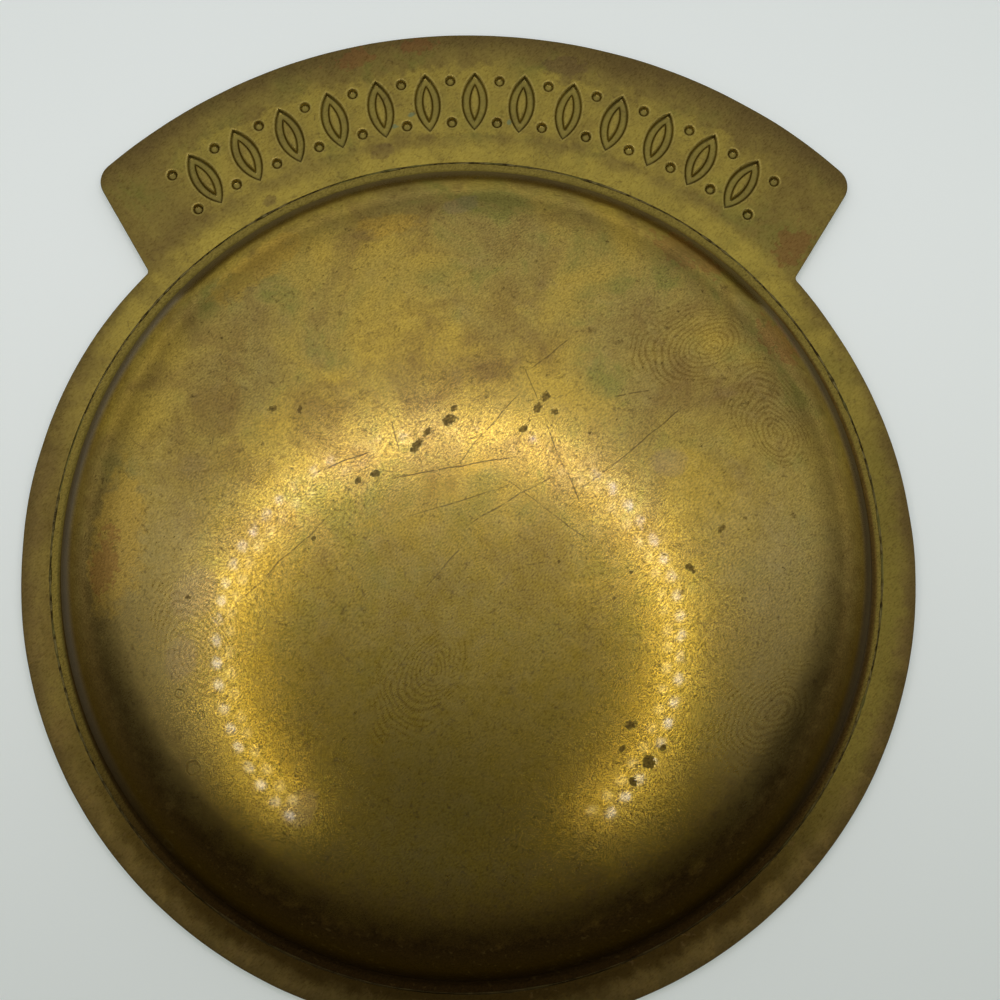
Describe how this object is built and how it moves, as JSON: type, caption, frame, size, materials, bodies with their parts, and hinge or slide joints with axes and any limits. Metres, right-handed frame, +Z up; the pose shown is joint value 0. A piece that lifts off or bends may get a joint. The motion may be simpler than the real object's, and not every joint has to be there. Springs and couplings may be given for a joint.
{
  "type": "coin tray",
  "caption": "Round shallow brass bowl set in a flat collar, with an arched sign tab that carries a pressed leaf and bead border; lies face down.",
  "frame": {"origin": "on the plane that the tray rests on face down, under the middle of its outline", "axes": "+Z up, out of the underside of the bowl; +Y towards the sign tab; +X to the right as the underside is seen with the tab at the top"},
  "size_m": [0.112, 0.1264, 0.0138],
  "materials": {
    "collar_brass": "aged brass, brown and green tarnish, fine scratches",
    "bowl_brass": "aged brass, satin, finger marks, fine crossed scratches",
    "solder": "dull tarnished solder line"
  },
  "bodies": {
    "root": {"sign_collar": "collar_brass", "bowl": "bowl_brass", "solder_seam": "solder"}
  },
  "joints": []
}
